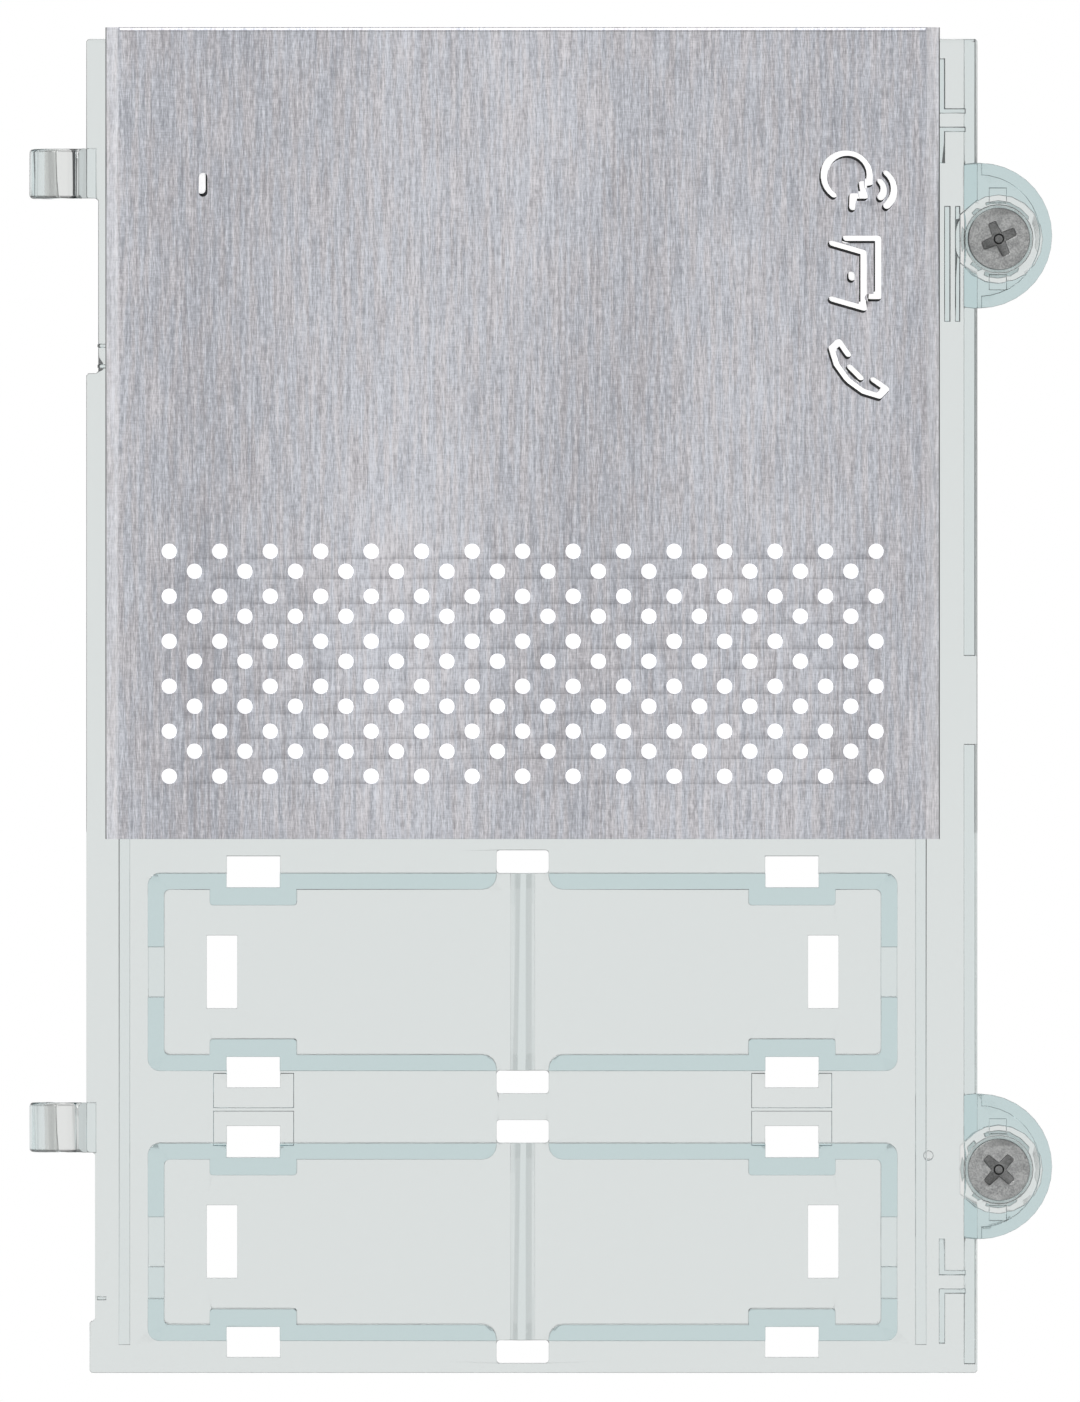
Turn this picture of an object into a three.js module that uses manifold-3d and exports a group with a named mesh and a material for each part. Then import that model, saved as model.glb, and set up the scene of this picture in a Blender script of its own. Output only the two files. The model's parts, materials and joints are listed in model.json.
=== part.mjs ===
// Door intercom panel: the audio module of an entryphone, with two empty call-button bays.
// Millimetres, +Z up, front facing -Y. X = 0 and Z = 0 lie on the middle of the module, and
// Y = 0 is the plane where the screw ears seat on the wall frame.
import * as THREE from 'three';
import { mergeGeometries, mergeVertices } from 'three/addons/utils/BufferGeometryUtils.js';
import Module from 'manifold-3d';

const wasm = await Module();
wasm.setup();

// ---------------------------------------------------------------- driving dimensions
const FIT = 0.3;                        // clearance between two pieces that touch

// clear carrier: a flat floor with a raised pad under the metal plate
const FLOOR = { left: -40.2, right: 41.9, top: 61, bottom: -61.9, front: -8, rear: -5.6 };
const PAD = { half: 37.2, top: 60.8, bottom: -12.3, front: -11.2, wall: 1.4, skin: 1.8 };
const EAR = { x: 42.1, z: 42.9, radius: 6.7, front: -6.6, rim: 0.25, web: [-5.4, -4] };
const EAR_BORE = { front: 3.15, rear: 4.1 };
const HOOK = { x: -42.4, y: -4.4, outer: 3.1, inner: 1.7, height: 4.6, root: 0.8, z: [48.6, -39.3] };

// brushed metal plate: a folded pan over the pad
const PLATE = { half: 38.4, top: 62, bottom: -12.7, front: -13, sheet: 0.8, bend: 1.3 };
const GRILLE = { rows: 6, holes: 15, pitch: 4.646, rowPitch: 4.14, lowest: -6.92, radius: 0.7, drop: 1.84 };
const STROKE = 0.7;                     // width of a pictogram's line

// call-button bays, both symmetric about X = 0
const BAY = { half: 34.5, height: 18.2, wall: 1.5, rib: 4.2, step: 2.2, sill: 0.9, z: [-24.95, -49.8] };
const CLIP = { x: 24.8, half: 2.45, inside: 1.3, outside: 1.55, jog: 4, depth: 2.95 };
const PIVOT = { half: 2.4, outside: 2.1, flare: 1.3, bead: [1.1, 0.45], beadHeight: 0.8 };
const PLUNGER = { x: 27.7, half: 1.4, halfHeight: 3.35 };

// captive screws
const SCREW = { x: 43.9, z: [42.6, -43.2], head: 2.88, seat: -5.4, headHeight: 1.9, shank: 1.5, tip: 2.6 };
const SCREW_SLOT_TURN = [24, 47];       // how far each cross recess is turned, degrees

// audio unit behind the plate
const LAYER = [-11.95, -11.45];         // tape, membrane and diffuser lie side by side here
const BOARD = { half: 34, z: [25.5, 58.6], front: -2.9, rear: -1.3 };
const HOUSING = { half: 38, z: [-12.2, 60.6], front: -5.3, rear: 16, wall: 1.6 };
const FIXING = { x: 31, z: [56, 20.4], boss: 2.4, post: 2.8 };
const SPEAKER = { z: 5.2, radius: 15.5, front: -5.1 };
const MICROPHONE = { x: -29.4, z: 47.5 };
const ICONS = { speak: [29.76, 48.2], door: [30.77, 39.47], handset: [30.87, 30.45] };
const WINDOW = { x: [-34, 34], z: [-8.4, 15.3] };          // opening behind the grille

// ---------------------------------------------------------------- finishes
const finish = (color, roughness, metalness = 0, extra = {}) =>
  new THREE.MeshStandardMaterial({ color, roughness, metalness, ...extra });
const CLEAR = finish(0xc9dad9, 0.08, 0, { transparent: true, opacity: 0.55 });
const BRUSHED = finish(0xbebec5, 0.38, 1);
const STEEL = finish(0x96948f, 0.42, 1);
const WHITE = finish(0xf4f4f2, 0.6);
const BLACK = finish(0x1d1e20, 0.55);
const GREY = finish(0x4a4d50, 0.6);
const GREEN = finish(0x1f5b3a, 0.45);
const BRASS = finish(0xb08d4a, 0.35, 1);
const RUBBER = finish(0x26262a, 0.9);
const PAPER = finish(0x3a3733, 0.95);
const RED = finish(0xa02522, 0.5);

// ---------------------------------------------------------------- solid helpers
// A closed geometry becomes a manifold: shared corners merged, slivers dropped, faces turned out.
function solid(geometry) {
  const plain = geometry.clone();
  plain.deleteAttribute('normal');
  plain.deleteAttribute('uv');
  const merged = mergeVertices(plain, 1e-4);
  const points = merged.attributes.position;
  const corners = Array.from(merged.index.array);
  const faces = [];
  let volume = 0;
  const [a, b, c] = [new THREE.Vector3(), new THREE.Vector3(), new THREE.Vector3()];
  for (let i = 0; i < corners.length; i += 3) {
    const face = corners.slice(i, i + 3);
    if (new Set(face).size < 3) continue;
    faces.push(face);
    a.fromBufferAttribute(points, face[0]);
    b.fromBufferAttribute(points, face[1]);
    c.fromBufferAttribute(points, face[2]);
    volume += a.dot(b.cross(c));
  }
  const outward = volume < 0 ? faces.map(([i, j, k]) => [i, k, j]) : faces;
  return new wasm.Manifold(new wasm.Mesh({
    numProp: 3,
    vertProperties: new Float32Array(points.array),
    triVerts: new Uint32Array(outward.flat()),
  }));
}

const middle = ([low, high]) => (low + high) / 2;
const length = ([low, high]) => high - low;

function boxShape(x, y, z) {
  return new THREE.BoxGeometry(length(x), length(y), length(z)).translate(middle(x), middle(y), middle(z));
}

const box = (x, y, z) => solid(boxShape(x, y, z));

// round bar along Y, centred on (x, z)
function barShape(radius, y, [x, z], sides) {
  return new THREE.CylinderGeometry(radius, radius, length(y), sides).translate(x, middle(y), z);
}

const bar = (radius, y, centre, sides = 20) => solid(barShape(radius, y, centre, sides));

// an outline drawn in X and Z, given thickness along Y
function slab(outline, y, curveSegments = 2) {
  const options = { depth: length(y), bevelEnabled: false, curveSegments };
  const geometry = new THREE.ExtrudeGeometry(outline, options);
  return solid(geometry.rotateX(Math.PI / 2).translate(0, y[1], 0));
}

function outlineOf(points) {
  return new THREE.Shape(points.map(([x, z]) => new THREE.Vector2(x, z)));
}

// the same, with a short facet across every corner
function easedOutline(points, facet) {
  return outlineOf(points.flatMap(([x, z], i) => {
    const neighbours = [points.at(i - 1), points[(i + 1) % points.length]];
    return neighbours.map(([nx, nz]) => {
      const share = facet / Math.hypot(nx - x, nz - z);
      return [x + (nx - x) * share, z + (nz - z) * share];
    });
  }));
}

function arcPoints([x, z], radius, from, to, steps) {
  return Array.from({ length: steps + 1 }, (_, i) => {
    const angle = THREE.MathUtils.degToRad(from + (to - from) * i / steps);
    return [x + radius * Math.cos(angle), z + radius * Math.sin(angle)];
  });
}

function roundedOutline([left, right], [bottom, top], radius) {
  const outline = new THREE.Shape();
  outline.moveTo(left + radius, bottom);
  outline.lineTo(right - radius, bottom);
  outline.absarc(right - radius, bottom + radius, radius, -Math.PI / 2, 0);
  outline.lineTo(right, top - radius);
  outline.absarc(right - radius, top - radius, radius, 0, Math.PI / 2);
  outline.lineTo(left + radius, top);
  outline.absarc(left + radius, top - radius, radius, Math.PI / 2, Math.PI);
  outline.lineTo(left, bottom + radius);
  outline.absarc(left + radius, bottom + radius, radius, Math.PI, 1.5 * Math.PI);
  return outline;
}

function roundedSlab(x, z, radius, y, curveSegments) {
  return slab(roundedOutline(x, z, radius), y, curveSegments);
}

// a turned piece about an axis along Y: profile points are [radius, y]
function turned(profile, [x, z], sides = 20) {
  const points = profile.map(([radius, y]) => new THREE.Vector2(radius, y));
  return solid(new THREE.LatheGeometry(points, sides).translate(x, 0, z));
}

// a range grown or shrunk at both ends
const grow = ([low, high], by) => [low - by, high + by];
const both = (half) => [-half, half];
const ordered = (a, b) => [Math.min(a, b), Math.max(a, b)];

const panel = new THREE.Group();
panel.name = 'door_intercom_panel';

function add(name, piece, material) {
  const { vertProperties, triVerts } = piece.getMesh();
  const geometry = new THREE.BufferGeometry();
  geometry.setAttribute('position', new THREE.BufferAttribute(new Float32Array(vertProperties), 3));
  geometry.setIndex(Array.from(triVerts));
  geometry.computeVertexNormals();
  const mesh = new THREE.Mesh(geometry, material);
  mesh.name = name;
  panel.add(mesh);
}

// ---------------------------------------------------------------- clear carrier
// The floor's left edge steps in between the hooks and again between the lower hook and the foot.
function floorOutline() {
  const notch = [30.2, 46.3];
  const belowHook = -41.6;
  const foot = -57.1;
  return easedOutline([
    [-39.9, FLOOR.bottom], [FLOOR.right, FLOOR.bottom], [FLOOR.right, FLOOR.top], [FLOOR.left, FLOOR.top],
    [FLOOR.left, notch[1]], [-39.1, notch[1]], [-39.1, notch[0]], [FLOOR.left, notch[0]],
    [FLOOR.left, belowHook], [-39.4, belowHook], [-39.4, foot], [-39.9, foot],
  ], 0.2);
}

// The gap for a pivot: straight through one long wall, flaring round the wall's inner corners.
function pivotGap(z, edge, y) {
  const { half, flare } = PIVOT;
  const inner = z + edge * (BAY.height / 2 - BAY.wall);
  const right = arcPoints([half + flare, inner + edge * flare], flare, edge * 270, edge * 180, 4);
  const left = right.map(([x, height]) => [-x, height]).reverse();
  const past = z + edge * (BAY.height / 2 + 1);
  const inside = inner - edge;
  return slab(outlineOf([
    [half + flare, inside], ...right, [half, past], [-half, past], ...left, [-half - flare, inside],
  ]), y);
}

// One bay: a rib round the floor, thicker behind each clip window. Each long wall opens for a pivot,
// each short wall drops to a sill in its middle, and the lower bay's steps down below the sill.
function bayRib(z) {
  const y = [FLOOR.front - BAY.rib, FLOOR.front + FIT];
  const outer = [z - BAY.height / 2, z + BAY.height / 2];
  const inner = grow(outer, -BAY.wall);
  let rib = roundedSlab(both(BAY.half), outer, 1.1, y, 3);
  let hollow = roundedSlab(both(BAY.half - BAY.wall), inner, 0.5, grow(y, 1));
  for (const side of [-1, 1]) {
    for (const edge of [-1, 1]) {
      const wall = z + edge * (BAY.height / 2 - CLIP.depth / 2);
      const jog = grow([wall, wall], CLIP.depth / 2);
      const across = grow([side * CLIP.x, side * CLIP.x], CLIP.jog);
      hollow = hollow.subtract(roundedSlab(across, jog, 0.3, grow(y, 2)));
    }
  }
  rib = rib.subtract(hollow);
  const sill = [z - 2.3, z + 2.3];
  rib = rib.subtract(box(both(BAY.half + 1), [y[0] - 1, FLOOR.front - BAY.sill], sill));
  if (z === Math.min(...BAY.z)) {
    rib = rib.subtract(box(both(BAY.half + 1), [y[0] - 1, FLOOR.front - BAY.step], [z - 5.2, z]));
  }
  for (const edge of [-1, 1]) rib = rib.subtract(pivotGap(z, edge, grow(y, 1)));
  return rib;
}

// Windows of one bay: four for clips, two for the pivots, two for the button plungers.
function bayWindows(z) {
  const y = [FLOOR.front - BAY.rib - 1, FLOOR.rear + 1];
  const windows = [];
  for (const edge of [-1, 1]) {
    const rim = z + edge * BAY.height / 2;
    const clip = ordered(rim - edge * CLIP.inside, rim + edge * CLIP.outside);
    const pivot = ordered(rim, rim + edge * PIVOT.outside);
    windows.push(roundedSlab(both(PIVOT.half), pivot, 0.3, y));
    for (const side of [-1, 1]) {
      windows.push(box(grow([side * CLIP.x, side * CLIP.x], CLIP.half), y, clip));
    }
  }
  for (const side of [-1, 1]) {
    const across = grow([side * PLUNGER.x, side * PLUNGER.x], PLUNGER.half);
    windows.push(box(across, y, grow([z, z], PLUNGER.halfHeight)));
  }
  return windows;
}

// A hinge hook: a C of clear plastic that closes round the wall frame's rod.
function hingeHook(z) {
  const start = THREE.MathUtils.degToRad(-30);
  const end = THREE.MathUtils.degToRad(-250);
  const outline = new THREE.Shape();
  outline.absarc(HOOK.x, HOOK.y, HOOK.outer, start, end, true);
  outline.absarc(HOOK.x, HOOK.y, HOOK.inner, end, start, false);
  const options = { depth: HOOK.height, bevelEnabled: false, curveSegments: 9 };
  const ring = new THREE.ExtrudeGeometry(outline, options);
  const arm = box([HOOK.x + 1.2, FLOOR.left + 0.5], [-7.3, -5.8], grow([z, z], HOOK.height / 2));
  const root = box([FLOOR.left - 0.7, FLOOR.left + 0.9], [FLOOR.front - HOOK.root, -5.8],
    grow([z, z], HOOK.height / 2));
  return solid(ring.translate(0, 0, z - HOOK.height / 2)).add(arm).add(root);
}

// A screw ear: half a disc with a raised rim, a counterbore for the head and one behind for the retainer.
function screwEar(side, screwZ) {
  const centre = [EAR.x, side * EAR.z];
  const disc = bar(EAR.radius, [EAR.front, 0], centre, 36);
  const rim = bar(EAR.radius, [EAR.front - EAR.rim, EAR.front + FIT], centre, 36)
    .subtract(bar(EAR.radius - 1.1, [EAR.front - 1, EAR.front + 1], centre, 36));
  const reach = EAR.x + EAR.radius + 1;
  const height = grow([screwZ, screwZ], 8);
  return disc.intersect(box([40.7, reach], [EAR.front - 1, 1], height))
    .add(rim.intersect(box([EAR.x + 0.2, reach], [EAR.front - 1, 1], height)));
}

function earCuts(screwZ) {
  const screw = [SCREW.x, screwZ];
  const notch = outlineOf([
    [40.3, screwZ - 2.2], [41.8, screwZ - 3.5], [44, screwZ - 3.5],
    [44, screwZ + 3.5], [41.8, screwZ + 3.5], [40.3, screwZ + 2.2],
  ]);
  const cuts = [
    slab(notch, [FLOOR.front - 1, EAR.front]),
    bar(EAR_BORE.front, [EAR.front - 1, EAR.web[0]], screw, 28),
    bar(EAR_BORE.rear, [EAR.web[1], 1], screw),
    bar(SCREW.shank + 0.25, [EAR.web[0] - 1, EAR.web[1] + 1], screw),
  ];
  for (const way of [-1, 1]) {
    const tab = ordered(screwZ + way * 3.3, screwZ + way * 4.7);
    cuts.push(box([43, 44.6], [EAR.front - 1, EAR.front + 0.5], tab));
  }
  return cuts;
}

// Low ribs on the carrier: key guides and pivot beads in front, the rim and latch ribs behind.
function carrierRibs() {
  const ribs = [];
  const rimRear = FLOOR.rear + 1;
  const latchRear = FLOOR.rear + 1.6;
  const fromRear = (rear) => [FLOOR.rear - FIT, rear];
  for (const side of [-1, 1]) {
    const guide = ordered(side * 36.2, side * PAD.half);
    ribs.push(box(guide, [FLOOR.front - 0.6, FLOOR.front + FIT], [-59.3, PAD.bottom + 1]));
  }
  for (const z of [[42.9, 60.8], [4.2, 38.3], [-36.7, -4], [-61.1, -49.1]]) {
    ribs.push(box([40.7, 41.7], fromRear(rimRear), z));
  }
  for (const side of [-1, 1]) {
    for (const z of [[49.6, 52.9], [54.2, 59.2]]) {
      ribs.push(box([38.4, 38.9], fromRear(latchRear), ordered(side * z[0], side * z[1])));
    }
    for (const z of [52.5, 54.2]) {
      ribs.push(box([38.4, 40.8], fromRear(latchRear), ordered(side * z, side * (z + 0.4))));
    }
  }
  for (const x of [[38.9, 39.4], [39.9, 40.3]]) ribs.push(box(x, fromRear(FLOOR.rear + 2), [35, 45.6]));
  for (const z of [30.7, 32.6, -55.2]) {
    ribs.push(box([-39.2, -38.4], fromRear(rimRear), [z, z + 0.3]));
  }
  const [foot, crest] = PIVOT.bead;
  const crown = FLOOR.front - PIVOT.beadHeight;
  const bead = outlineOf([
    [-foot, FLOOR.front + FIT], [-foot, FLOOR.front - 0.05], [-crest, crown],
    [crest, crown], [foot, FLOOR.front - 0.05], [foot, FLOOR.front + FIT],
  ]);
  const run = BAY.height + 0.2;
  for (const z of BAY.z) {
    const bar = new THREE.ExtrudeGeometry(bead, { depth: run, bevelEnabled: false });
    ribs.push(solid(bar.translate(0, 0, z - run / 2)));
  }
  return ribs;
}

// Shallow marks in the rear of the floor: relief pads behind the middle clip windows, and the gate.
function floorMarks() {
  const marks = [bar(0.45, [FLOOR.rear - 0.15, FLOOR.rear + 1], [37.4, -41.9], 12)];
  for (const side of [-1, 1]) {
    const across = grow([side * CLIP.x, side * CLIP.x], 3.7);
    for (const z of [[-41, -37.8], [-37.5, -34.3]]) {
      marks.push(box(across, [FLOOR.rear - 0.15, FLOOR.rear + 1], z));
    }
  }
  return marks;
}

function makeCarrier() {
  const padX = both(PAD.half);
  const padZ = [PAD.bottom, PAD.top];
  const inner = { x: both(PAD.half - PAD.wall), z: grow(padZ, -PAD.wall) };
  let carrier = slab(floorOutline(), [FLOOR.front, FLOOR.rear]);
  carrier = carrier.add(roundedSlab(padX, padZ, 0.6, [PAD.front, FLOOR.rear]));
  carrier = carrier.subtract(roundedSlab(inner.x, inner.z, 0.6, [PAD.front + PAD.skin, 0]));
  for (const z of BAY.z) carrier = carrier.add(bayRib(z));
  for (const rib of carrierRibs()) carrier = carrier.add(rib);
  for (const mark of floorMarks()) carrier = carrier.subtract(mark);
  for (const z of HOOK.z) carrier = carrier.add(hingeHook(z));
  carrier = carrier.add(screwEar(1, SCREW.z[0])).add(screwEar(-1, SCREW.z[1]));
  for (const z of SCREW.z) {
    for (const cut of earCuts(z)) carrier = carrier.subtract(cut);
  }
  for (const z of BAY.z) {
    for (const opening of bayWindows(z)) carrier = carrier.subtract(opening);
  }
  carrier = carrier.subtract(roundedSlab(WINDOW.x, WINDOW.z, 2, [PAD.front - 1, FLOOR.rear]));
  carrier = carrier.subtract(bar(1.5, [PAD.front - 1, FLOOR.rear], [MICROPHONE.x, MICROPHONE.z], 16));
  for (const side of [-1, 1]) {
    for (const z of FIXING.z) {
      const end = z > 30 ? BOARD.front - FIT : -7.3;
      const centre = [side * FIXING.x, z];
      carrier = carrier.add(bar(FIXING.boss, [PAD.front + 1, end], centre, 12));
      carrier = carrier.subtract(bar(1.35, [PAD.front + 1.4, end + 1], centre, 10));
    }
  }
  return carrier;
}

add('carrier', makeCarrier(), CLEAR);

// ---------------------------------------------------------------- brushed plate
// A pictogram line: straight bars with round ends, in X and Z.
function strokePieces(points, [x, z], y) {
  const pieces = [];
  for (let i = 0; i < points.length - 1; i += 1) {
    const [ax, az] = points[i];
    const [bx, bz] = points[i + 1];
    const run = Math.hypot(bx - ax, bz - az);
    const turn = Math.atan2(bz - az, bx - ax);
    const strip = new THREE.BoxGeometry(run, length(y), STROKE).rotateY(-turn);
    pieces.push(solid(strip.translate(x + (ax + bx) / 2, middle(y), z + (az + bz) / 2)));
  }
  for (const [px, pz] of points) pieces.push(bar(STROKE / 2, y, [x + px, z + pz], 8));
  return pieces;
}

// Speaking head, open door and handset, each drawn about its own middle.
function pictogramLines() {
  const face = [[2.1, -0.6], [1.4, -0.75], [1.5, -1.35], [1.66, -1.84], [0.55, -1.84], [0.5, -2.9]];
  const handle = [[-1, 1.35], [-1.8, 2.5], [-2.5, 1.85], [-2.05, 0.4], [-1.15, -0.85]];
  const mirrored = handle.map(([x, z]) => [z, x]).reverse();
  return [
    [ICONS.speak, [...arcPoints([0, 0], 2.12, 235, -10, 10), ...face]],
    [ICONS.speak, arcPoints([2.35, -1.25], 1.05, 45, -45, 3)],
    [ICONS.speak, arcPoints([2.35, -1.25], 2, 50, -50, 5)],
    [ICONS.door, [[-1.08, 3], [1.88, 3], [1.88, -2.36], [1.1, -2.36]]],
    [ICONS.door, [[-2.36, 2.54], [0.54, 1.7], [0.54, -3.42], [-2.36, -2.59]]],
    [ICONS.door, [[-0.57, -0.65], [-0.57, -0.3]]],
    [ICONS.handset, [...handle, ...mirrored]],
    [ICONS.handset, [[-0.8, 0.16], [0.16, -0.8]]],
  ];
}

// Main rows of round holes, with a shorter row between each pair, moved half a pitch.
function grilleHoles(y) {
  const holes = [];
  for (let row = 0; row < GRILLE.rows; row += 1) {
    const z = GRILLE.lowest + row * GRILLE.rowPitch;
    const rows = [[GRILLE.holes, z]];
    if (row > 0) rows.push([GRILLE.holes - 1, z - GRILLE.drop]);
    for (const [count, height] of rows) {
      for (let i = 0; i < count; i += 1) {
        const x = (i - (count - 1) / 2) * GRILLE.pitch;
        holes.push(barShape(GRILLE.radius, y, [x, height], 5));
      }
    }
  }
  return solid(mergeGeometries(holes));
}

function platePan() {
  const { half, top, bottom, front, sheet, bend } = PLATE;
  // section across the width, drawn in X and Y and given its height along Z
  const foldedBar = (edge, face, rear, radius, low, high) => {
    const outline = new THREE.Shape();
    outline.moveTo(edge, rear);
    outline.lineTo(-edge, rear);
    outline.lineTo(-edge, face + radius);
    outline.absarc(-edge + radius, face + radius, radius, Math.PI, 1.5 * Math.PI);
    outline.absarc(edge - radius, face + radius, radius, 1.5 * Math.PI, 2 * Math.PI);
    const options = { depth: high - low, bevelEnabled: false, curveSegments: 4 };
    return solid(new THREE.ExtrudeGeometry(outline, options).translate(0, 0, low));
  };
  const rear = FLOOR.front - FIT;
  const pan = foldedBar(half, front, rear, bend, bottom, top);
  const inside = foldedBar(half - sheet, front + sheet, rear + 1, bend - sheet, bottom - 1, top - sheet);
  return pan.subtract(inside);
}

function makePlate() {
  const y = [PLATE.front - 1, PLATE.front + PLATE.sheet + 0.5];
  let plate = platePan().subtract(grilleHoles(y));
  plate = plate.subtract(roundedSlab(grow([MICROPHONE.x, MICROPHONE.x], 0.4),
    grow([MICROPHONE.z, MICROPHONE.z], 1.1), 0.35, y));
  for (const [centre, points] of pictogramLines()) {
    for (const piece of strokePieces(points, centre, y)) plate = plate.subtract(piece);
  }
  return plate;
}

add('face_plate', makePlate(), BRUSHED);

// ---------------------------------------------------------------- layer between plate and pad
const MEMBRANE = { x: both(35.6), z: [-10.2, 17] };
const DIFFUSER = { x: [26.2, 36], z: [25.6, 52.6] };
{
  let tape = roundedSlab(both(36.9), [-12, 60.5], 1, LAYER);
  for (const piece of [MEMBRANE, DIFFUSER]) {
    tape = tape.subtract(box(grow(piece.x, FIT), grow(LAYER, 1), grow(piece.z, FIT)));
  }
  tape = tape.subtract(bar(2, grow(LAYER, 1), [MICROPHONE.x, MICROPHONE.z], 16));
  add('plate_tape', tape, GREY);
  add('grille_membrane', box(MEMBRANE.x, LAYER, MEMBRANE.z), WHITE);
  add('microphone_membrane', bar(1.7, LAYER, [MICROPHONE.x, MICROPHONE.z], 16), WHITE);
  add('pictogram_diffuser', box(DIFFUSER.x, LAYER, DIFFUSER.z), WHITE);
}

// ---------------------------------------------------------------- light mask and lamps
{
  let mask = box([26.2, 35.2], [-9.1, BOARD.front - FIT], [26, 52.4]);
  for (const chamber of [[27, 34.3], [35.3, 43.2], [44.2, 51.4]]) {
    mask = mask.subtract(box([27.2, 34.4], [-10, 0], chamber));
  }
  add('light_mask', mask, BLACK);
}
const lampY = [BOARD.front - FIT - 1.1, BOARD.front - FIT];
for (const [name, [x, z]] of Object.entries(ICONS)) {
  add(`lamp_${name}`, box(grow([x, x], 1.5), lampY, grow([z, z], 1)), WHITE);
}

// ---------------------------------------------------------------- loudspeaker
const baffleY = [-7, -5.4];
const speakerCentre = [0, SPEAKER.z];
{
  let gasket = box(both(35.4), [-9.1, -7.3], [-10.5, 17.2]);
  gasket = gasket.subtract(roundedSlab(both(33.2), [-8, 15], 2, [-10, -6]));
  add('grille_gasket', gasket, RUBBER);

  let baffle = box(both(35.4), baffleY, [-10.6, 22.8]);
  baffle = baffle.subtract(bar(14, grow(baffleY, 1), speakerCentre));
  for (const side of [-1, 1]) {
    baffle = baffle.subtract(bar(1.6, grow(baffleY, 1), [side * FIXING.x, FIXING.z[1]], 16));
  }
  add('speaker_baffle', baffle, BLACK);
}
const basketFront = SPEAKER.front;
const basketRear = basketFront + 6.6;
{
  let basket = turned([
    [14, basketFront], [SPEAKER.radius, basketFront], [SPEAKER.radius, basketFront + 1],
    [14.4, basketFront + 1], [10, basketRear], [4.6, basketRear], [4.6, basketRear - 0.8],
    [9.4, basketRear - 0.8], [13.6, basketFront + 1], [14, basketFront],
  ], speakerCentre, 24);
  for (const angle of [45, 135, 225, 315]) {
    const slot = new THREE.BoxGeometry(5, 2.6, 3).translate(12, basketFront + 3.6, 0);
    slot.rotateY(THREE.MathUtils.degToRad(angle)).translate(0, 0, SPEAKER.z);
    basket = basket.subtract(solid(slot));
  }
  add('speaker_basket', basket, STEEL);

  add('speaker_cone', turned([
    [0, basketFront + 1.6], [2, basketFront + 1.8], [3.6, basketFront + 2.6], [4.4, basketFront + 3.2],
    [11, basketFront + 0.6], [12.1, basketFront + 0.2], [13.2, basketFront + 0.6],
    [13.2, basketFront + 0.9], [12.1, basketFront + 0.6], [11, basketFront + 1],
    [4, basketFront + 3.9], [4, basketFront + 5.4], [3.6, basketFront + 5.4],
    [3.6, basketFront + 3.2], [2, basketFront + 2.2], [0, basketFront + 2],
  ], speakerCentre, 20), PAPER);

  const magnetFront = basketRear + FIT;
  add('speaker_magnet', turned([
    [0, magnetFront - 0.9], [3, magnetFront - 0.9], [3, magnetFront], [9, magnetFront],
    [9, magnetFront + 5.5], [0, magnetFront + 5.5],
  ], speakerCentre, 20), GREY);
}

// ---------------------------------------------------------------- microphone
{
  const centre = [MICROPHONE.x, MICROPHONE.z];
  add('microphone_boot', turned([
    [1, -9.1], [4.2, -9.1], [4.2, -3.4], [3.2, -3.4], [3.2, -7.4], [1, -7.4], [1, -9.1],
  ], centre, 24), RUBBER);
  add('microphone', turned([
    [0, -7.1], [2.9, -7.1], [2.9, -4.2], [0, -4.2],
  ], centre, 24), STEEL);
}

// ---------------------------------------------------------------- circuit board and parts on it
{
  let board = box(both(BOARD.half), [BOARD.front, BOARD.rear], BOARD.z);
  for (const side of [-1, 1]) {
    board = board.subtract(bar(1.6, [BOARD.front - 1, BOARD.rear + 1], [side * FIXING.x, FIXING.z[0]], 16));
  }
  add('circuit_board', board, GREEN);
}
const onBoard = BOARD.rear + FIT;                        // where parts stand on the board's rear
add('processor', box([4, 14], [onBoard, onBoard + 1.2], [30, 40]), BLACK);
add('amplifier', box([18, 24], [onBoard, onBoard + 1.5], [28, 33]), BLACK);
for (const [name, x, z] of [['bus_capacitor', 26, 45], ['audio_capacitor', 17, 53]]) {
  add(name, turned([
    [0, onBoard], [4, onBoard], [4, onBoard + 9.6], [3.6, onBoard + 10], [0, onBoard + 10],
  ], [x, z], 20), GREY);
}
add('bus_inductor', roundedSlab([-33, -25], [28, 36], 1.5, [onBoard, onBoard + 4.5]), BLACK);

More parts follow.
